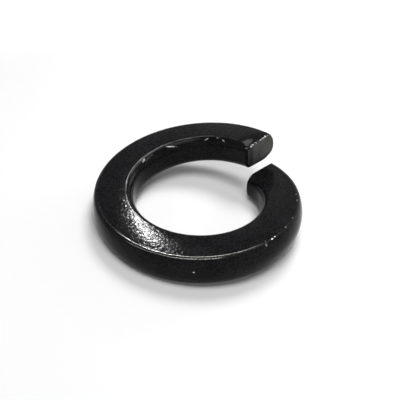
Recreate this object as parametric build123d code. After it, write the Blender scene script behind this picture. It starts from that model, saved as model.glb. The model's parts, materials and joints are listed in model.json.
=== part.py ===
from build123d import *

from math import degrees
import os

# Spring lock washer for a 12 mm screw. It is one length of rolled spring steel,
# coiled into a single turn and parted, so that its two ends stand apart in
# height. Sizes are in millimetres. The bore runs along Z, the split faces +X,
# and z = 0 is the lowest point of the low end. Seen from above, the turn
# climbs clockwise, so its ends bite when a right-hand nut works loose.

# The hole
bore_diameter = 12.2

# The wire's cross-section, measured outwards from the bore wall
section_width = 3.9
section_thickness = 2.9
outer_crown = 0.33  # how far the outer wall bows out between its corners
edge_radius = 0.4  # of the outer wall's top and bottom corners
inner_round_reach = 0.65  # how far the inner rounding eats into each flat face
bore_trim = 0.1  # what sizing the bore takes off the swollen inner wall

# The coil
free_rise = 3.4  # from the low end up to the raised end, unloaded
split_gap = 0.3  # width of the parting cut
split_skew = 2.5  # degrees between the parting cut and a true radius

# The swept blank stops this short of a full turn on each side of the split
blank_relief = 0.01

bore_radius = bore_diameter / 2
outer_radius = bore_radius + section_width
middle_radius = bore_radius + section_width / 2


def wire_section():
    """The cross-section, standing on the XZ plane where the coil starts."""
    flat_start = bore_radius + inner_round_reach
    flat_end = outer_radius - outer_crown
    half_thickness = section_thickness / 2
    top = Line((flat_start, section_thickness), (flat_end, section_thickness))
    outer_wall = ThreePointArc(top @ 1, (outer_radius, half_thickness), (flat_end, 0))
    bottom = Line(outer_wall @ 1, (flat_start, 0))
    inner_wall = EllipticalCenterArc(
        (flat_start, half_thickness), inner_round_reach + bore_trim, half_thickness, 90, arc_size=180
    )
    outline = make_face(Plane.XZ * Curve([top, outer_wall, bottom, inner_wall]))
    corners = outline.vertices().sort_by(Axis.X)[-2:]
    return fillet(corners, edge_radius)


def coil_blank():
    """The section swept round just under one turn, climbing clockwise."""
    relief_angle = degrees(blank_relief / middle_radius)
    turn = 360 - 2 * relief_angle
    kept_turn = 360 - degrees(split_gap / middle_radius)
    pitch = free_rise * 360 / kept_turn
    path = Helix(pitch, pitch * turn / 360, middle_radius, lefthand=True)
    blank = sweep(wire_section(), path, is_frenet=True)
    return Rot(0, 0, -relief_angle) * blank


def washer():
    """The blank with its bore sized and its split cut."""
    tool_height = 2 * (free_rise + section_thickness)
    bore = Cylinder(bore_radius, 2 * tool_height)
    kerf_length = section_width + 2 * edge_radius
    kerf = Box(kerf_length, split_gap, 2 * tool_height)
    kerf = Pos(middle_radius, 0, 0) * Rot(0, 0, split_skew) * kerf
    part = coil_blank() - bore - kerf
    lowest = part.bounding_box().min.Z
    return Pos(0, 0, -lowest) * part


os.makedirs("parts", exist_ok=True)
spring_washer = washer()
export_step(spring_washer, "parts/spring_washer.step")
print("solids", len(spring_washer.solids()), "volume", round(spring_washer.volume, 3))
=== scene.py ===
import json
import math
import bpy
import numpy as np
from mathutils import Matrix, Vector


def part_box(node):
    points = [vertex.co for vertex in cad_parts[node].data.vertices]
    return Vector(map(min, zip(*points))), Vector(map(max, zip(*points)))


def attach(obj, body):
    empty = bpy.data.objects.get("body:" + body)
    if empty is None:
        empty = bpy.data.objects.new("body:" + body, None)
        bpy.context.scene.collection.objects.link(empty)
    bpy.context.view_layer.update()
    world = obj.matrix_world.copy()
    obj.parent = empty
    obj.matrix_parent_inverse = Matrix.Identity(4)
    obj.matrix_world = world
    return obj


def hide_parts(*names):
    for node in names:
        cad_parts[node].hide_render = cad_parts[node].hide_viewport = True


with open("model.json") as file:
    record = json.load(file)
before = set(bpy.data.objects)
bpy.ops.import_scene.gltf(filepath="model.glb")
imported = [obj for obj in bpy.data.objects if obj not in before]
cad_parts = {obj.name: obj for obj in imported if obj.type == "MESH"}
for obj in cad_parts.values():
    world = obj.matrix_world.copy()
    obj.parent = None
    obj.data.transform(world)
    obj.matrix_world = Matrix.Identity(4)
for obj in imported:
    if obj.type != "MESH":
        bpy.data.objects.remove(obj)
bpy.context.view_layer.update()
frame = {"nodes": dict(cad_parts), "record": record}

mm = 0.001


def meshPoints(obj):
    points = np.empty(len(obj.data.vertices) * 3)
    obj.data.vertices.foreach_get("co", points)
    return points.reshape(-1, 3)


# One parted end of the CAD washer: its flat cut lies along y = lean * x + offset
def readCut(obj, facing):
    splitReach = 0.5 * mm  # both cuts lie this close to the plane y = 0
    squareOn = 0.98        # how squarely a face looks along y
    onCut = set()
    for face in obj.data.polygons:
        atSplit = face.center.x > 0 and abs(face.center.y) < splitReach
        if atSplit and face.normal.y * facing > squareOn:
            onCut.update(face.vertices)
    points = meshPoints(obj)[sorted(onCut)]
    lean, offset = np.polyfit(points[:, 0], points[:, 1], 1)
    return {"lean": lean, "offset": offset, "low": points[:, 2].min(), "high": points[:, 2].max()}


# How far round from the +X side a cut lies at a radius, clockwise seen from above, in degrees
def cutAngle(cut, radius):
    return np.degrees(-(cut["lean"] + cut["offset"] / radius))


# Sizes that the CAD washer holds
cadWasher = frame["nodes"]["spring_washer"]
boreMount = next(mount for mount in frame["record"]["mounts"] if mount["name"] == "bore")
lowCut = readCut(cadWasher, 1)
raisedCut = readCut(cadWasher, -1)
boreRadius = boreMount["dims"]["r_mm"] * mm
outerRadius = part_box("spring_washer")[1].x
sectionWidth = outerRadius - boreRadius
sectionMiddle = boreRadius + sectionWidth / 2
freeRise = (raisedCut["low"] - lowCut["low"] + raisedCut["high"] - lowCut["high"]) / 2
coilSpan = 360 + cutAngle(raisedCut, sectionMiddle) - cutAngle(lowCut, sectionMiddle)
climb = freeRise / coilSpan  # metres of height for each degree round

washerShape = {
    "crown": 0.33 * mm,             # bulge of the outer wall
    "cornerRadius": 0.4 * mm,       # outer corners
    "innerReach": 0.65 * mm,        # how far out from the bore the inner rounding starts
    "boreTrim": 0.1 * mm,           # what the bore takes off that rounding
    "flatMargin": 0.6 * mm,         # how far in from the outside the top is sure to be flat
    "stations": 690,                # rows of points round the coil
    "flatSteps": 24,                # points across each part of the section
    "flatCrowding": 0.6,            # how much closer they stand near the edges of the top
    "cornerSteps": 14,
    "wallSteps": 20,
    "underCornerSteps": 8,
    "underSteps": 13,
    "innerSteps": 34,
    "rimSteps": 7,
    "rimRadius": 0.05 * mm,         # crisp sides of a cut end
    "draggedRimRadius": 0.24 * mm,  # sides where the shear rolled the steel over
    "rimSmoothing": 6,              # passes that even out one radius into the next
    "endBlend": 9.0,                # degrees over which the rows turn to follow a skewed cut
    "capRings": 7,                  # rings of points across each cut
    "rollWave": 0.0025 * mm,        # slow waviness left by rolling and coiling
    "cornerRidge": 0.008 * mm,      # burnished ridge along the top outer corner
    "ridgeBeyond": 0.02 * mm,       # its place past the end of the flat
    "ridgeWidth": 0.07 * mm,
    "topCrown": 0.022 * mm,         # slight roundness across the top face
    "lipWear": 0.75,                # how bare the top edge of the raised cut is
    "lipReach": 0.2 * mm,           # how far that goes down the outer corner
    "raisedDip": 0.46 * mm,         # drop of the dragged inner top corner at the raised end
    "raisedReach": 0.95 * mm,       # how far round that reaches
    "raisedFlare": 0.12 * mm,       # the raised end stands this far out of round
    "flareReach": 22.0,             # degrees round over which that dies out
    "raisedRound": 0.14 * mm,       # extra rounding of its outer top corner
    "roundWidth": 0.45 * mm,
    "raisedUnder": 0.34 * mm,       # and of its outer bottom corner
    "underWidth": 0.6 * mm,
    "lowDip": 0.06 * mm,            # drop of the inner top corner at the low end
    "lowSpread": 0.20 * mm,         # bore side pushed inwards at the low end
    "lowReach": 1.6 * mm,           # how far round both of those reach
}

# The CAD cut is skewed, so its height holds a little climb besides the section's thickness
climbAcross = cutAngle(raisedCut, boreRadius + washerShape["innerReach"])
climbAcross -= cutAngle(raisedCut, outerRadius - washerShape["flatMargin"])
thickness = raisedCut["high"] - raisedCut["low"] - climb * climbAcross
print("bore", boreRadius, "outside", outerRadius, "rise", freeRise, "span", coilSpan, "thickness", thickness)

flatTop, outerTop, wall, outerBottom, flatBottom, inner = range(6)


# Closed outline of the section: out along the top, down the outer wall, back along the bottom, up the bore
def sectionOutline():
    s = washerShape
    half = thickness / 2
    crownRadius = (half ** 2 + s["crown"] ** 2) / (2 * s["crown"])
    crownX = sectionWidth - crownRadius
    cornerZ = half - s["cornerRadius"]
    cornerX = crownX + math.sqrt((crownRadius - s["cornerRadius"]) ** 2 - cornerZ ** 2)
    wallAngle = math.atan2(cornerZ, cornerX - crownX)
    flatSpan = cornerX - s["innerReach"]
    x, z, zone = [], [], []

    # The last point of each part is the first of the next, so it is left off
    def add(zoneName, newX, newZ):
        x.extend(newX[:-1])
        z.extend(newZ[:-1])
        zone.extend([zoneName] * (len(newX) - 1))

    even = np.linspace(0, 1, s["flatSteps"] + 1)
    crowded = 0.5 - 0.5 * np.cos(np.linspace(0, math.pi, s["flatSteps"] + 1))
    flatShare = s["flatCrowding"] * crowded + (1 - s["flatCrowding"]) * even
    add(flatTop, s["innerReach"] + flatSpan * flatShare, np.full(s["flatSteps"] + 1, half))
    turn = np.linspace(math.pi / 2, wallAngle, s["cornerSteps"] + 1)
    add(outerTop, cornerX + s["cornerRadius"] * np.cos(turn), cornerZ + s["cornerRadius"] * np.sin(turn))
    swing = np.linspace(wallAngle, -wallAngle, s["wallSteps"] + 1)
    add(wall, crownX + crownRadius * np.cos(swing), crownRadius * np.sin(swing))
    turn = np.linspace(math.pi / 2, wallAngle, s["underCornerSteps"] + 1)[::-1]
    underZ = -(cornerZ + s["cornerRadius"] * np.sin(turn))
    add(outerBottom, cornerX + s["cornerRadius"] * np.cos(turn), underZ)
    underX = s["innerReach"] + flatSpan * np.linspace(1, 0, s["underSteps"] + 1)
    add(flatBottom, underX, np.full(s["underSteps"] + 1, -half))
    lift = np.linspace(-math.pi / 2, math.pi / 2, s["innerSteps"] + 1)
    bulge = s["innerReach"] - (s["innerReach"] + s["boreTrim"]) * np.cos(lift)
    add(inner, np.maximum(bulge, 0), half * np.sin(lift))
    return np.array(x), np.array(z) + half, np.array(zone)


# Dents, in degrees clockwise from the split and in millimetres: where they are, how long round the coil,
# wide and deep, how far they lean out for each millimetre round, and how brightly the steel shows
nicks = [
    {"angle": 90, "radius": 9.62, "long": 0.34, "wide": 0.60, "deep": 0.07, "lean": 0.9, "bare": 0.5},
    {"angle": 85, "radius": 9.47, "long": 0.30, "wide": 0.16, "deep": 0.04, "lean": 0.0, "bare": 0.9},
    {"angle": 82.5, "radius": 9.45, "long": 0.22, "wide": 0.14, "deep": 0.03, "lean": 0.0, "bare": 0.8},
    {"angle": 72, "radius": 9.45, "long": 0.35, "wide": 0.14, "deep": 0.03, "lean": 0.0, "bare": 0.5},
    {"angle": 62.5, "radius": 9.45, "long": 0.30, "wide": 0.13, "deep": 0.03, "lean": 0.0, "bare": 0.5},
    {"angle": 45, "radius": 9.45, "long": 0.40, "wide": 0.14, "deep": 0.03, "lean": 0.0, "bare": 0.5},
    {"angle": 38.5, "radius": 9.42, "long": 0.35, "wide": 0.12, "deep": 0.03, "lean": 0.0, "bare": 0.5},
    {"angle": 199.5, "radius": 9.33, "long": 0.30, "wide": 0.14, "deep": 0.03, "lean": 0.3, "bare": 0.45},
    {"angle": 203, "radius": 8.70, "long": 0.90, "wide": 0.12, "deep": 0.015, "lean": -1.5, "bare": 0.32},
    {"angle": 214.5, "radius": 6.86, "long": 0.12, "wide": 0.34, "deep": 0.015, "lean": 0.0, "bare": 0.48},
    {"angle": 253.5, "radius": 6.45, "long": 0.70, "wide": 0.30, "deep": 0.05, "lean": -0.4, "bare": 0.6},
    {"angle": 256.5, "radius": 6.36, "long": 1.00, "wide": 0.15, "deep": 0.03, "lean": -0.1, "bare": 0.5},
    {"angle": 262, "radius": 6.42, "long": 1.10, "wide": 0.12, "deep": 0.02, "lean": 0.0, "bare": 0.5},
    {"angle": 284, "radius": 6.34, "long": 1.30, "wide": 0.14, "deep": 0.03, "lean": 0.35, "bare": 0.8},
    {"angle": 317, "radius": 6.40, "long": 0.50, "wide": 0.16, "deep": 0.04, "lean": -0.5, "bare": 0.9},
    {"angle": 327, "radius": 6.55, "long": 0.25, "wide": 0.14, "deep": 0.03, "lean": 0.0, "bare": 0.8},
    {"angle": 333, "radius": 6.35, "long": 0.40, "wide": 0.16, "deep": 0.04, "lean": 0.5, "bare": 0.9},
    {"angle": 130, "radius": 9.99, "long": 0.25, "wide": 0.10, "deep": 0.02, "lean": 0.0, "bare": 0.7},
]


# Smooth waves with no repeats that show, from a few sines of seeded phase
def slowWaves(along, across, seed):
    draw = np.random.default_rng(seed)
    total = np.zeros_like(along)
    for count in (3, 7, 11, 17, 29, 43, 61):
        phase = draw.uniform(0, 6.28)
        tilt = draw.uniform(-1.6, 1.6)
        total += np.sin(np.radians(along) * count + across * tilt + phase) / count ** 0.5
    usualHeight = 1.6
    return total / usualHeight


# 0 to 1 with a soft start and end
def eased(share):
    return share * share * (3 - 2 * share)


def bell(distance, width):
    return np.exp(-(distance / width) ** 2)


# How far round each row of points lies, and how far it rolls in towards the flat of a cut
def rowAngles(radius, rim):
    s = washerShape
    start = cutAngle(lowCut, radius) + np.degrees(rim / radius)
    end = 360 + cutAngle(raisedCut, radius) - np.degrees(rim / radius)
    base = np.linspace(start.mean(), end.mean(), s["stations"])[:, None]
    nearLow = np.clip(1 - (base - start.mean()) / s["endBlend"], 0, 1)
    nearRaised = np.clip(1 - (end.mean() - base) / s["endBlend"], 0, 1)
    body = base + eased(nearLow) * (start - start.mean()) + eased(nearRaised) * (end - end.mean())
    quarter = np.linspace(0, math.pi / 2, s["rimSteps"])[1:, None]
    rolled = np.degrees(rim * np.sin(quarter) / radius)
    rimInset = rim * (1 - np.cos(quarter))
    angle = np.vstack([(start - rolled)[::-1], body, end + rolled])
    inset = np.vstack([rimInset[::-1], np.zeros_like(body), rimInset])
    return angle, inset


# One dent's depth over the surface, from 0 to 1
def dentShape(nick, angle, radius, girth, upper):
    away = nick["radius"] * np.radians(angle - nick["angle"])
    offRadius = np.where(upper, np.abs(radius / mm - nick["radius"]), np.inf)
    spot = np.argmin(offRadius)
    along = girth - girth[spot]
    near = np.minimum(np.abs(along), girth[-1] - np.abs(along)) / mm  # the outline closes on itself
    outwards = 1 if spot < len(girth) / 2 else -1  # which way the outline runs there
    near = near * np.where(along * outwards < 0, -1, 1) - nick["lean"] * away
    squash = (away / (nick["long"] / 2)) ** 2 + (near / (nick["wide"] / 2)) ** 2
    return np.exp(-squash ** 1.5)


# Points of the coil in rows, with what the materials need to know at each point
def coilPoints():
    s = washerShape
    x, z, zone = sectionOutline()
    nextX, nextZ = np.roll(x, -1), np.roll(z, -1)
    girth = np.concatenate([[0], np.cumsum(np.hypot(nextX - x, nextZ - z))[:-1]])
    tangentX, tangentZ = nextX - np.roll(x, 1), nextZ - np.roll(z, 1)
    length = np.hypot(tangentX, tangentZ)
    outX, outZ = -tangentZ / length, tangentX / length  # outward, as the outline runs clockwise
    radius = boreRadius + x
    upper = z > thickness / 2
    flatEdge = girth[zone == outerTop][0]
    flatEnd = x[zone == outerTop][0]

    dragged = (zone == inner) | (zone == flatBottom) | (zone == outerBottom)
    rim = np.where(dragged, s["draggedRimRadius"], s["rimRadius"])
    for _ in range(s["rimSmoothing"]):
        rim = (np.roll(rim, 1) + rim + np.roll(rim, -1)) / 3
    angle, inset = rowAngles(radius, rim)

    # Waviness, the burnished ridge and the dents, as distances along the outward normal
    waveShare = np.where(np.isin(zone, (flatTop, outerTop, wall)), 1.0, 0.6)  # calmer below and inside
    push = s["rollWave"] * slowWaves(angle, (girth / mm)[None, :], seed=11) * waveShare
    ridge = bell(girth - flatEdge - s["ridgeBeyond"], s["ridgeWidth"])
    ridgeLevel = 0.7 + 0.5 * slowWaves(angle, 0 * angle, seed=23)
    push = push + s["cornerRidge"] * ridge * ridgeLevel
    bare = np.zeros_like(angle)
    for nick in nicks:
        dent = dentShape(nick, angle, radius, girth, upper)
        push = push - nick["deep"] * mm * dent
        bare = np.maximum(bare, dent * nick["bare"])
    push = push - inset

    # Bare dots along the top edge of the raised cut
    onTop = (zone == flatTop) | ((zone == outerTop) & (z > thickness - s["lipReach"]))
    dotWave = 400 * x / mm  # degrees of wave, so that the dots come close together
    dots = np.clip(0.6 + 0.8 * slowWaves(dotWave, x / mm, seed=31), 0, 1)
    bare[-s["rimSteps"]:] = np.maximum(bare[-s["rimSteps"]:], s["lipWear"] * onTop * dots)

    # The top is a little round across, and the outer corners of the raised end are rounder
    fromRaised = np.radians(360 + cutAngle(raisedCut, radius) - angle) * radius
    halfFlat = 0.5 * (flatEnd - s["innerReach"])
    across = (x - s["innerReach"] - halfFlat) / halfFlat
    push = push - s["topCrown"] * np.minimum(across ** 2, 1) * np.clip(2 * z / thickness - 1, 0, 1)
    nearEnd = bell(fromRaised, 2 * s["raisedReach"])
    underMiddle = girth[zone == outerBottom].mean()
    push = push - s["raisedUnder"] * nearEnd * bell(girth - underMiddle, s["underWidth"])
    push = push - s["raisedRound"] * nearEnd * bell(girth - girth[zone == wall][0], s["roundWidth"])

    # What the shear did: inner corners dragged down, the bore side spread, the raised end out of round
    fromLow = np.radians(angle - cutAngle(lowCut, radius)) * radius
    atLow = bell(fromLow, s["lowReach"])
    atRaised = bell(fromRaised, s["raisedReach"])
    inward = np.clip((flatEnd - x) / (flatEnd - s["boreTrim"]), 0, 1)
    dip = np.maximum(z - thickness + s["raisedDip"] * inward, 0) * atRaised * upper
    dip = dip + np.maximum(z - thickness + s["lowDip"] * inward, 0) * atLow * upper
    boreSide = np.clip(1 - x / (0.5 * sectionWidth), 0, 1) * np.sin(math.pi * z / thickness)
    spread = s["lowSpread"] * atLow * boreSide
    flare = s["raisedFlare"] * eased(np.clip(1 - np.degrees(fromRaised / radius) / s["flareReach"], 0, 1))

    ringRadius = radius + outX * push - spread + flare
    lowest = climb * cutAngle(lowCut, radius[zone == flatBottom][0])
    height = z + outZ * push - dip + climb * angle - lowest
    turn = np.radians(angle)
    points = np.stack([ringRadius * np.cos(turn), -ringRadius * np.sin(turn), height], -1)
    girthHere = np.tile(girth / mm, (len(angle), 1))
    marks = {"angle": angle, "girth": girthHere, "nick": bare, "depthIn": inset / mm}
    return points, marks, rim / mm, flatEdge / mm


def buildWasher():
    points, marks, rim, flatEdge = coilPoints()
    rows, count = points.shape[:2]
    row = np.arange(rows - 1)[:, None] * count
    col = np.arange(count)[None, :]
    nextCol = (col + 1) % count
    quads = np.stack([row + col, row + count + col, row + count + nextCol, row + nextCol], -1)
    faces = quads.reshape(-1, 4).tolist()
    bodyFaces = len(faces)
    vertices = [points.reshape(-1, 3)]
    values = {name: [value.reshape(-1)] for name, value in marks.items()}

    # Each cut closes with rings that shrink to the middle of the section
    capDepth, centreDepth = 1.4, 1.6  # how far in from its edge the cut counts, in mm
    total = rows * count
    for edgeRow, flip in ((0, True), (rows - 1, False)):
        edge = points[edgeRow]
        edgeAngle = marks["angle"][edgeRow]
        centre = edge.mean(axis=0)
        previous = edgeRow * count + np.arange(count)
        for ring in range(1, washerShape["capRings"] + 1):
            share = 1 - ring / (washerShape["capRings"] + 1)
            vertices.append(centre + (edge - centre) * share)
            values["angle"].append(edgeAngle * share + edgeAngle.mean() * (1 - share))
            values["girth"].append(marks["girth"][edgeRow])
            values["nick"].append(np.zeros(count))
            values["depthIn"].append(rim + (1 - share) * capDepth)
            current = total + np.arange(count)
            total += count
            cap = np.stack([previous, current, np.roll(current, -1), np.roll(previous, -1)], -1)
            faces.extend((cap[:, ::-1] if flip else cap).tolist())
            previous = current
        vertices.append(centre[None])
        atCentre = {"angle": edgeAngle.mean(), "girth": 0, "nick": 0, "depthIn": centreDepth}
        for name, value in atCentre.items():
            values[name].append(np.array([value]))
        fan = np.stack([previous, np.full(count, total), np.roll(previous, -1)], -1)
        faces.extend((fan[:, ::-1] if flip else fan).tolist())
        total += 1

    mesh = bpy.data.meshes.new("springWasher")
    mesh.from_pydata(np.concatenate(vertices).tolist(), [], faces)
    for name, parts in values.items():
        layer = mesh.attributes.new(name, "FLOAT", "POINT")
        layer.data.foreach_set("value", np.concatenate(parts).astype(np.float32))
    mesh.polygons.foreach_set("use_smooth", np.ones(len(mesh.polygons), dtype=bool))
    slots = np.zeros(len(mesh.polygons), dtype=np.int32)
    slots[bodyFaces:] = 1  # the two cuts
    mesh.update()
    return mesh, slots, flatEdge


def newGroup(name, inputs, outputs):
    tree = bpy.data.node_groups.new(name, "ShaderNodeTree")
    for label, kind, value in inputs:
        socket = tree.interface.new_socket(label, in_out="INPUT", socket_type=kind)
        if value is not None:
            socket.default_value = value
    for label in outputs:
        tree.interface.new_socket(label, in_out="OUTPUT", socket_type="NodeSocketFloat")
    return tree, tree.nodes.new("NodeGroupInput").outputs, tree.nodes.new("NodeGroupOutput").inputs


def wire(tree, source, target):
    tree.links.new(source, target)


# Plain values are set on a socket, sockets are wired to it
def feed(tree, term, socket):
    if isinstance(term, bpy.types.NodeSocket):
        wire(tree, term, socket)
    else:
        socket.default_value = term


def maths(tree, operation, *terms):
    node = tree.nodes.new("ShaderNodeMath")
    node.operation = operation
    for socket, term in zip(node.inputs, terms):
        feed(tree, term, socket)
    return node.outputs[0]


# A value carried from one range to another: from low to high, to toLow to toHigh
def ramp(tree, value, low, high, toLow=0.0, toHigh=1.0, soft=True):
    node = tree.nodes.new("ShaderNodeMapRange")
    node.interpolation_type = "SMOOTHSTEP" if soft else "LINEAR"
    wire(tree, value, node.inputs["Value"])
    for label, term in (("From Min", low), ("From Max", high), ("To Min", toLow), ("To Max", toHigh)):
        feed(tree, term, node.inputs[label])
    return node.outputs["Result"]


def noiseOf(tree, vector, scale, detail=2.0, roughness=0.5):
    node = tree.nodes.new("ShaderNodeTexNoise")
    wire(tree, vector, node.inputs["Vector"])
    feed(tree, scale, node.inputs["Scale"])
    node.inputs["Detail"].default_value = detail
    node.inputs["Roughness"].default_value = roughness
    return node.outputs["Fac"]


def joinVector(tree, *terms):
    node = tree.nodes.new("ShaderNodeCombineXYZ")
    for socket, term in zip(node.inputs, terms):
        feed(tree, term, socket)
    return node.outputs[0]


def attribute(tree, name):
    node = tree.nodes.new("ShaderNodeAttribute")
    node.attribute_name = name
    return node.outputs["Fac"]


def place(tree, group, **given):
    node = tree.nodes.new("ShaderNodeGroup")
    node.node_tree = group
    for label, term in given.items():
        feed(tree, term, node.inputs[label.replace("_", " ")])
    return node.outputs


# A mix of two colours or two numbers
def blend(tree, kind, factor, first, second):
    node = tree.nodes.new("ShaderNodeMix")
    node.data_type = kind
    wire(tree, factor, node.inputs["Factor"])
    for label, term in (("A", first), ("B", second)):
        feed(tree, (*term, 1.0) if isinstance(term, tuple) else term, node.inputs[label])
    return node.outputs["Result"]


# Fine crystals of the oxide: a mottled tone, and a height for the bump
def makeOxideGrain():
    patchShare = 0.13  # scale of the patches next to the crystals
    tree, given, made = newGroup(
        "oxideGrain",
        [("Place", "NodeSocketVector", None), ("Grain", "NodeSocketFloat", 3.6)],
        ["Tone", "Height", "Patches"])
    fine = noiseOf(tree, given["Place"], given["Grain"], detail=1.0)
    coarseScale = maths(tree, "MULTIPLY", given["Grain"], patchShare)
    patches = noiseOf(tree, given["Place"], coarseScale, detail=4.0, roughness=0.6)
    wire(tree, ramp(tree, fine, 0.35, 0.65), made["Tone"])
    wire(tree, fine, made["Height"])
    wire(tree, ramp(tree, patches, 0.3, 0.7), made["Patches"])
    return tree


# Angle round the coil as a length along the wire, in mm
def arcAlong(tree, angle):
    return maths(tree, "MULTIPLY", angle, math.radians(sectionMiddle / mm))


# Lines drawn along the wire: noise stretched round the coil
def makeDrawnLines():
    tree, given, made = newGroup(
        "drawnLines",
        [("Angle", "NodeSocketFloat", 0.0), ("Girth", "NodeSocketFloat", 0.0),
         ("Spacing", "NodeSocketFloat", 0.12), ("Stretch", "NodeSocketFloat", 30.0)],
        ["Height"])
    across = maths(tree, "DIVIDE", given["Girth"], given["Spacing"])
    reach = maths(tree, "MULTIPLY", given["Spacing"], given["Stretch"])
    along = maths(tree, "DIVIDE", arcAlong(tree, given["Angle"]), reach)
    lines = noiseOf(tree, joinVector(tree, along, across), 1.0, roughness=0.6)
    wire(tree, lines, made["Height"])
    return tree


# Fine marks that cross each other, from tumbling: thin lines at a few angles to the wire
def makeTumbleMarks():
    markAngles = (38, -27, 84, 8)
    markStretch = 1.1  # waves for each mm along a mark
    layerStep = 3.7    # keeps the layers of marks from repeating one another
    tree, given, made = newGroup(
        "tumbleMarks",
        [("Angle", "NodeSocketFloat", 0.0), ("Girth", "NodeSocketFloat", 0.0),
         ("Finest", "NodeSocketFloat", 9.0)],
        ["Mask", "Height"])
    arc = arcAlong(tree, given["Angle"])
    marks = 0.0
    for number, turned in enumerate(markAngles):
        cosine, sine = math.cos(math.radians(turned)), math.sin(math.radians(turned))
        along = maths(tree, "MULTIPLY_ADD", arc, cosine, maths(tree, "MULTIPLY", given["Girth"], sine))
        across = maths(tree, "MULTIPLY_ADD", arc, -sine, maths(tree, "MULTIPLY", given["Girth"], cosine))
        along = maths(tree, "MULTIPLY", along, markStretch)
        across = maths(tree, "MULTIPLY", across, given["Finest"])
        streak = noiseOf(tree, joinVector(tree, along, across, layerStep * number), 1.0, detail=1.0)
        marks = maths(tree, "MAXIMUM", marks, ramp(tree, streak, 0.56, 0.72))
    wire(tree, marks, made["Mask"])
    wire(tree, maths(tree, "MULTIPLY", marks, -1.0), made["Height"])
    return tree


# A narrow rubbed stripe along the wire, ragged and broken, between two angles
def makeRubbedStripe():
    tree, given, made = newGroup(
        "rubbedStripe",
        [("Angle", "NodeSocketFloat", 0.0), ("Girth", "NodeSocketFloat", 0.0),
         ("Line", "NodeSocketFloat", 0.0), ("Half Width", "NodeSocketFloat", 0.05),
         ("From", "NodeSocketFloat", 0.0), ("To", "NodeSocketFloat", 90.0), ("Fade", "NodeSocketFloat", 8.0),
         ("Place", "NodeSocketVector", None), ("Broken", "NodeSocketFloat", 0.5)],
        ["Mask"])
    drift = ramp(tree, noiseOf(tree, given["Place"], 1.7), 0.0, 1.0, -0.05, 0.05, soft=False)
    off = maths(tree, "SUBTRACT", given["Girth"], given["Line"])
    off = maths(tree, "ABSOLUTE", maths(tree, "ADD", off, drift))
    ragged = noiseOf(tree, given["Place"], 7.0, detail=3.0, roughness=0.7)
    width = maths(tree, "MULTIPLY", given["Half Width"], ramp(tree, ragged, 0.3, 0.7, 0.3, 1.6))
    stripe = maths(tree, "SUBTRACT", 1.0, ramp(tree, maths(tree, "DIVIDE", off, width), 0.5, 1.3))
    started = ramp(tree, maths(tree, "SUBTRACT", given["Angle"], given["From"]), 0.0, given["Fade"])
    ended = ramp(tree, maths(tree, "SUBTRACT", given["To"], given["Angle"]), 0.0, given["Fade"])
    breaks = noiseOf(tree, given["Place"], 2.6, detail=4.0, roughness=0.7)
    limit = maths(tree, "MULTIPLY_ADD", given["Broken"], 0.3, 0.3)
    kept = ramp(tree, maths(tree, "SUBTRACT", breaks, limit), -0.08, 0.06)
    ends = maths(tree, "MULTIPLY", started, ended)
    wire(tree, maths(tree, "MULTIPLY", maths(tree, "MULTIPLY", stripe, kept), ends), made["Mask"])
    return tree


# Steel that shows in the dents, with a ragged edge
def makeChippedOxide():
    tree, given, made = newGroup(
        "chippedOxide",
        [("Place", "NodeSocketVector", None), ("Nick", "NodeSocketFloat", 0.0)],
        ["Mask"])
    ragged = noiseOf(tree, given["Place"], 5.0, detail=3.0, roughness=0.7)
    rough = ramp(tree, ragged, 0.2, 0.8, -0.6, 0.6, soft=False)
    torn = maths(tree, "ADD", given["Nick"], maths(tree, "MULTIPLY", rough, given["Nick"]))
    wire(tree, ramp(tree, torn, 0.25, 0.8), made["Mask"])
    return tree


# The brightest crystals and the marks, where a little steel shows through
def makeBrightFlecks():
    markShare = 0.8
    tree, given, made = newGroup(
        "brightFlecks",
        [("Place", "NodeSocketVector", None), ("Marks", "NodeSocketFloat", 0.0),
         ("Amount", "NodeSocketFloat", 0.014)],
        ["Mask"])
    crystals = ramp(tree, noiseOf(tree, given["Place"], 7.0, detail=1.0), 0.45, 0.68)
    fleck = maths(tree, "MAXIMUM", crystals, maths(tree, "MULTIPLY", given["Marks"], markShare))
    wire(tree, maths(tree, "MULTIPLY", fleck, given["Amount"]), made["Mask"])
    return tree


# Roughness of the surface: a little with the grain, and more in a dull strip along one corner
def makeDulledCorner():
    tree, given, made = newGroup(
        "dulledCorner",
        [("Tone", "NodeSocketFloat", 0.0), ("Girth", "NodeSocketFloat", 0.0),
         ("Middle", "NodeSocketFloat", 0.0), ("Least", "NodeSocketFloat", 0.09),
         ("Most", "NodeSocketFloat", 0.15), ("Dull", "NodeSocketFloat", 0.22)],
        ["Roughness"])
    even = ramp(tree, given["Tone"], 0.0, 1.0, given["Least"], given["Most"], soft=False)
    off = maths(tree, "ABSOLUTE", maths(tree, "SUBTRACT", given["Girth"], given["Middle"]))
    wire(tree, maths(tree, "ADD", even, ramp(tree, off, 0.14, 0.34, given["Dull"], 0.0)), made["Roughness"])
    return tree


groups = {
    "grain": makeOxideGrain(),
    "lines": makeDrawnLines(),
    "marks": makeTumbleMarks(),
    "stripe": makeRubbedStripe(),
    "chips": makeChippedOxide(),
    "flecks": makeBrightFlecks(),
    "corner": makeDulledCorner(),
}
print("surface effects:", ", ".join(groups))

oxideLook = {
    "black": (0.0018, 0.0018, 0.0024),
    "worn": (0.0064, 0.0062, 0.0076),
    "bareSteel": (0.62, 0.61, 0.58),
    "roughness": 0.12,
    "roughnessSpread": 0.03,
    "bareRoughness": 0.42,
    "specular": 0.06,
    "grain": 3.6,          # crystals for each mm
    "lineDepth": 0.1,
    "markDepth": 0.05,
    "bump": 0.5,
    "bumpDistance": 0.02 * mm,
    "cornerMiddle": 0.20,  # the dulled strip along the top outer corner, in mm past the flat
    "cornerDull": 0.22,    # how much rougher it is
    "flecks": 0.014,       # how much bare steel the brightest crystals show
}

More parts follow.
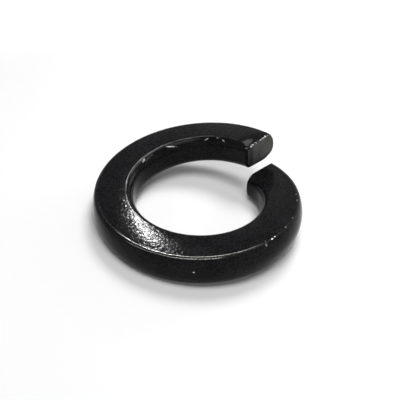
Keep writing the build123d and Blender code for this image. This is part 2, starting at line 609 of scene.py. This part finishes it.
# Rubbed stripes: their line is flats times the girth at the end of the flat, plus beyond, in mm
bodyLook = dict(oxideLook, stripes=[
    {"flats": 1, "beyond": -0.05, "halfWidth": 0.035, "from": 90, "to": 180, "fade": 14,
     "broken": 0.2, "strength": 0.46},
    {"flats": 1, "beyond": 0.19, "halfWidth": 0.03, "from": 112, "to": 170, "fade": 8,
     "broken": 0.4, "strength": 0.42},
    {"flats": 0, "beyond": 0.02, "halfWidth": 0.05, "from": 214, "to": 326, "fade": 6,
     "broken": 0.3, "strength": 0.14},
])

cutLook = dict(
    oxideLook,
    black=(0.022, 0.021, 0.021),
    worn=(0.060, 0.058, 0.056),
    roughness=0.5,
    specular=0.3,
    stripes=[],
    shearBandAndShade={
        "fromBore": 0.85,          # a dark band up the cut, in mm out from the bore
        "halfWidth": 0.28,
        "cornerFrom": (5.3, 5.9),  # girths over which the painted shade of the lower outer corner starts
        "cornerTo": (7.4, 8.4),    # and ends
        "cornerIn": (0.3, 0.6),    # how far in from the edge it fades
        "darkest": 0.9,
    })


def objectPlace(tree):
    coordinates = tree.nodes.new("ShaderNodeTexCoord")
    scaled = tree.nodes.new("ShaderNodeVectorMath")
    scaled.operation = "SCALE"
    scaled.inputs["Scale"].default_value = 1 / mm  # from metres to millimetres
    wire(tree, coordinates.outputs["Object"], scaled.inputs[0])
    return scaled.outputs[0]


# Dark places on a cut: a dark band that the shear left, and painted shade in the lower outer corner,
# standing in for the shade of a torn notch that is not modelled
def shearBandAndShadeMask(tree, spot, girth, band):
    split = tree.nodes.new("ShaderNodeSeparateXYZ")
    wire(tree, spot, split.inputs[0])
    squares = [maths(tree, "POWER", split.outputs[axis], 2.0) for axis in ("X", "Y")]
    fromAxis = maths(tree, "POWER", maths(tree, "ADD", *squares), 0.5)
    off = maths(tree, "ABSOLUTE", maths(tree, "SUBTRACT", fromAxis, boreRadius / mm + band["fromBore"]))
    ragged = ramp(tree, noiseOf(tree, spot, 3.0), 0.0, 1.0, -0.15, 0.15, soft=False)
    off = maths(tree, "ADD", off, ragged)
    stripe = ramp(tree, off, band["halfWidth"] * 0.6, band["halfWidth"] * 1.4, band["darkest"], 0.0)
    # Painted shade: the lower outer corner is darkened near its edge, in place of a torn notch that is not
    # modelled
    started = ramp(tree, girth, *band["cornerFrom"])
    ended = ramp(tree, girth, *band["cornerTo"], 1.0, 0.0)
    inFrom = maths(tree, "ADD", attribute(tree, "depthIn"), ragged)
    nearEdge = ramp(tree, inFrom, *band["cornerIn"], band["darkest"], 0.0)
    corner = maths(tree, "MULTIPLY", maths(tree, "MULTIPLY", started, ended), nearEdge)
    return maths(tree, "MAXIMUM", stripe, corner)


def oxideMaterial(name, flatEdge, look):
    material = bpy.data.materials.new(name)
    material.use_nodes = True
    tree = material.node_tree
    shader = tree.nodes["Principled BSDF"]
    spot = objectPlace(tree)
    angle, girth, nick = attribute(tree, "angle"), attribute(tree, "girth"), attribute(tree, "nick")
    grain = place(tree, groups["grain"], Place=spot, Grain=look["grain"])
    lines = place(tree, groups["lines"], Angle=angle, Girth=girth)
    marks = place(tree, groups["marks"], Angle=angle, Girth=girth)

    bare = place(tree, groups["chips"], Place=spot, Nick=nick)["Mask"]
    for stripe in look["stripes"]:
        line = flatEdge * stripe["flats"] + stripe["beyond"]
        rubbed = place(tree, groups["stripe"], Angle=angle, Girth=girth, Place=spot, Line=line,
                       Half_Width=stripe["halfWidth"], From=stripe["from"], To=stripe["to"],
                       Fade=stripe["fade"], Broken=stripe["broken"])
        bare = maths(tree, "MAXIMUM", bare, maths(tree, "MULTIPLY", rubbed["Mask"], stripe["strength"]))
    flecks = place(tree, groups["flecks"], Place=spot, Marks=marks["Mask"], Amount=look["flecks"])
    bare = maths(tree, "MAXIMUM", bare, flecks["Mask"])

    tone = blend(tree, "RGBA", grain["Patches"], look["black"], look["worn"])
    # On a cut: a dark shear band, and painted shade in its lower outer corner
    if "shearBandAndShade" in look:
        bandAndShade = shearBandAndShadeMask(tree, spot, girth, look["shearBandAndShade"])
        tone = blend(tree, "RGBA", bandAndShade, tone, oxideLook["black"])
    wire(tree, blend(tree, "RGBA", bare, tone, look["bareSteel"]), shader.inputs["Base Color"])
    wire(tree, bare, shader.inputs["Metallic"])
    oxide = place(tree, groups["corner"], Tone=grain["Tone"], Girth=girth,
                  Middle=flatEdge + look["cornerMiddle"], Dull=look["cornerDull"],
                  Least=look["roughness"] - look["roughnessSpread"],
                  Most=look["roughness"] + look["roughnessSpread"])
    roughness = blend(tree, "FLOAT", bare, oxide["Roughness"], look["bareRoughness"])
    wire(tree, roughness, shader.inputs["Roughness"])
    shader.inputs["Specular IOR Level"].default_value = look["specular"]

    height = maths(tree, "MULTIPLY_ADD", lines["Height"], look["lineDepth"], grain["Height"])
    height = maths(tree, "MULTIPLY_ADD", marks["Height"], look["markDepth"], height)
    bump = tree.nodes.new("ShaderNodeBump")
    bump.inputs["Strength"].default_value = look["bump"]
    bump.inputs["Distance"].default_value = look["bumpDistance"]
    wire(tree, height, bump.inputs["Height"])
    wire(tree, bump.outputs["Normal"], shader.inputs["Normal"])
    return material


mesh, slots, flatEdge = buildWasher()
washer = bpy.data.objects.new("spring_washer_body", mesh)
bpy.context.scene.collection.objects.link(washer)
mesh.materials.append(oxideMaterial("blackOxideSteel", flatEdge, bodyLook))
mesh.materials.append(oxideMaterial("shearedSteel", flatEdge, cutLook))
mesh.polygons.foreach_set("material_index", slots)
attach(washer, "root")
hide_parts("spring_washer")
print("washer:", len(mesh.vertices), "points,", len(mesh.polygons), "faces")


# Where the washer rests: the plane under it that lets its middle sink lowest
def restPlane(points, centre):
    firstStride, lastStride = 0.08, 0.0002  # steps of slope that the search takes

    def sunk(slopeX, slopeY):
        base = (points[:, 2] - slopeX * points[:, 0] - slopeY * points[:, 1]).min()
        drop = centre.z - slopeX * centre.x - slopeY * centre.y - base
        return drop / math.sqrt(1 + slopeX ** 2 + slopeY ** 2), base

    best, stride = (0.0, 0.0), firstStride
    low = sunk(*best)[0]
    while stride > lastStride:
        tries = [(best[0] + stride * i, best[1] + stride * j) for i in (-1, 0, 1) for j in (-1, 0, 1)]
        found = min(tries, key=lambda slopes: sunk(*slopes)[0])
        if sunk(*found)[0] < low:
            best, low = found, sunk(*found)[0]
        else:
            stride /= 2
    return best[0], best[1], sunk(*best)[1]


middle = Vector((0, 0, (freeRise + thickness) / 2))
slopeX, slopeY, floorBase = restPlane(meshPoints(washer), middle)
up = Vector((-slopeX, -slopeY, 1)).normalized()
print("rests on a plane tilted", math.degrees(math.acos(up.z)), "degrees")

floorLook = {
    "reach": 60,             # half the floor's side, in outer radii
    "color": (0.9, 0.9, 0.9),
    "roughness": 0.9,
    "farWhite": (3.5, 9.0),  # outer radii over which the floor turns to plain white
    "lift": 0.05,            # white added for what looks at the floor, none for what it lights
}


def makeFloor():
    reach = floorLook["reach"] * outerRadius
    corners = []
    for x, y in ((-reach, -reach), (reach, -reach), (reach, reach), (-reach, reach)):
        corners.append((x, y, floorBase + slopeX * x + slopeY * y))
    mesh = bpy.data.meshes.new("floor")
    mesh.from_pydata(corners, [], [(0, 1, 2, 3)])
    floor = bpy.data.objects.new("floor", mesh)
    bpy.context.scene.collection.objects.link(floor)
    material = bpy.data.materials.new("paleFloor")
    material.use_nodes = True
    tree = material.node_tree
    shader = tree.nodes["Principled BSDF"]
    shader.inputs["Base Color"].default_value = (*floorLook["color"], 1)
    shader.inputs["Roughness"].default_value = floorLook["roughness"]
    shader.inputs["Specular IOR Level"].default_value = 0.0
    shader.inputs["Emission Color"].default_value = (1, 1, 1, 1)
    rays = tree.nodes.new("ShaderNodeLightPath")
    seen = maths(tree, "MAXIMUM", rays.outputs["Is Camera Ray"], rays.outputs["Is Glossy Ray"])
    seen = maths(tree, "MAXIMUM", seen, rays.outputs["Is Transmission Ray"])
    coordinates = tree.nodes.new("ShaderNodeTexCoord")
    away = tree.nodes.new("ShaderNodeVectorMath")
    away.operation = "LENGTH"
    wire(tree, coordinates.outputs["Object"], away.inputs[0])
    near, far = (limit * outerRadius for limit in floorLook["farWhite"])
    lift = ramp(tree, away.outputs["Value"], near, far, floorLook["lift"], 1.0)
    wire(tree, maths(tree, "MULTIPLY", seen, lift), shader.inputs["Emission Strength"])
    mesh.materials.append(material)


makeFloor()
print("floor: reaches", floorLook["reach"] * outerRadius, "m")

# Distance and size in outer radii; a lamp that only glints throws no light or shadow on dull surfaces
lights = {
    "sparkle": {"azimuth": 65.3, "elevation": 45.1, "distance": 12.0, "size": 0.55, "radiance": 440.0,
                "onlyGlints": True},
    "backSoft": {"azimuth": 30, "elevation": 63, "distance": 12.0, "size": 5.6, "radiance": 10.8,
                 "onlyGlints": False},
    "frontSoft": {"azimuth": 234, "elevation": 72, "distance": 14.0, "size": 8.0, "radiance": 7.2,
                  "onlyGlints": False},
    "rightSoft": {"azimuth": 0, "elevation": 20, "distance": 12.0, "size": 4.5, "radiance": 4.0,
                  "onlyGlints": False},
}


# Direction in the floor's own frame: azimuth turns from +X towards +Y, elevation is above the floor
def towards(azimuth, elevation):
    around, above = math.radians(azimuth), math.radians(elevation)
    level = math.cos(above)
    flat = Vector((math.cos(around) * level, math.sin(around) * level, math.sin(above)))
    return Vector((0, 0, 1)).rotation_difference(up) @ flat


def addLight(name, light):
    data = bpy.data.lights.new(name, "AREA")
    data.shape = "DISK"
    data.size = light["size"] * outerRadius
    area = math.pi * (data.size / 2) ** 2
    data.energy = light["radiance"] * area * math.pi
    lamp = bpy.data.objects.new(name, data)
    direction = towards(light["azimuth"], light["elevation"])
    lamp.location = middle + direction * light["distance"] * outerRadius
    lamp.rotation_mode = "QUATERNION"
    lamp.rotation_quaternion = direction.to_track_quat("Z", "Y")
    lamp.visible_diffuse = not light["onlyGlints"]
    bpy.context.scene.collection.objects.link(lamp)


for name, light in lights.items():
    addLight(name, light)
print("lights:", ", ".join(lights))

# A pale wall of light all round that dims overhead; each band is (sine of the elevation, brightness)
worldLook = {
    "dullShare": 0.22,  # share of it that reaches dull surfaces
    "bands": [(0.0, 1.0), (0.30, 0.90), (0.50, 0.62), (0.64, 0.30), (0.78, 0.10), (1.0, 0.06)],
}


def makeWorld():
    world = bpy.data.worlds.new("studio")
    bpy.context.scene.world = world
    world.use_nodes = True
    tree = world.node_tree
    background = tree.nodes["Background"]
    coordinates = tree.nodes.new("ShaderNodeTexCoord")
    split = tree.nodes.new("ShaderNodeSeparateXYZ")
    wire(tree, coordinates.outputs["Generated"], split.inputs[0])
    shade = tree.nodes.new("ShaderNodeValToRGB")
    shade.color_ramp.interpolation = "EASE"
    while len(shade.color_ramp.elements) < len(worldLook["bands"]):
        shade.color_ramp.elements.new(0.5)
    for element, (height, bright) in zip(shade.color_ramp.elements, worldLook["bands"]):
        element.position = height
        element.color = (bright, bright, bright, 1)
    wire(tree, split.outputs["Z"], shade.inputs["Fac"])
    wire(tree, shade.outputs["Color"], background.inputs["Color"])
    rays = tree.nodes.new("ShaderNodeLightPath")
    shiny = maths(tree, "SUBTRACT", 1.0, rays.outputs["Is Diffuse Ray"])
    strength = ramp(tree, shiny, 0.0, 1.0, worldLook["dullShare"], 1.0, soft=False)
    wire(tree, strength, background.inputs["Strength"])


makeWorld()
print("world:", len(worldLook["bands"]), "bands of light")

cameraView = {
    "azimuth": -35.92,
    "elevation": 37.41,
    "distance": 5.966,   # in outer radii, from the washer's middle
    "aimRight": 0.0186,  # where it looks, in outer radii from there
    "aimUp": -0.0237,
    "roll": -3.22,
    "focal": 620 / 400,  # focal length over the sensor's width
    "sensor": 36,        # its width in mm
    "clip": (0.1, 200),  # in outer radii
}


def makeCamera():
    view = cameraView
    around, above = math.radians(view["azimuth"]), math.radians(view["elevation"])
    level = math.cos(above)
    back = Vector((math.sin(around) * level, -math.cos(around) * level, math.sin(above)))
    right = Vector((math.cos(around), math.sin(around), 0))
    position = middle + back * view["distance"] * outerRadius
    aim = middle + (right * view["aimRight"] + back.cross(right) * view["aimUp"]) * outerRadius
    forward = (aim - position).normalized()
    side = forward.cross(Vector((0, 0, 1))).normalized()
    top = side.cross(forward)
    roll = math.radians(view["roll"])
    rolledSide = side * math.cos(roll) + top * math.sin(roll)
    rolledTop = top * math.cos(roll) - side * math.sin(roll)
    data = bpy.data.cameras.new("camera")
    data.sensor_width = view["sensor"]
    data.lens = view["sensor"] * view["focal"]
    data.clip_start, data.clip_end = (limit * outerRadius for limit in view["clip"])
    camera = bpy.data.objects.new("camera", data)
    turn = Matrix((rolledSide, rolledTop, -forward)).transposed()
    camera.matrix_world = Matrix.Translation(position) @ turn.to_4x4()
    bpy.context.scene.collection.objects.link(camera)
    bpy.context.scene.camera = camera


makeCamera()
bpy.context.scene.view_settings.view_transform = "Standard"
print("camera:", cameraView["distance"] * outerRadius, "m away")
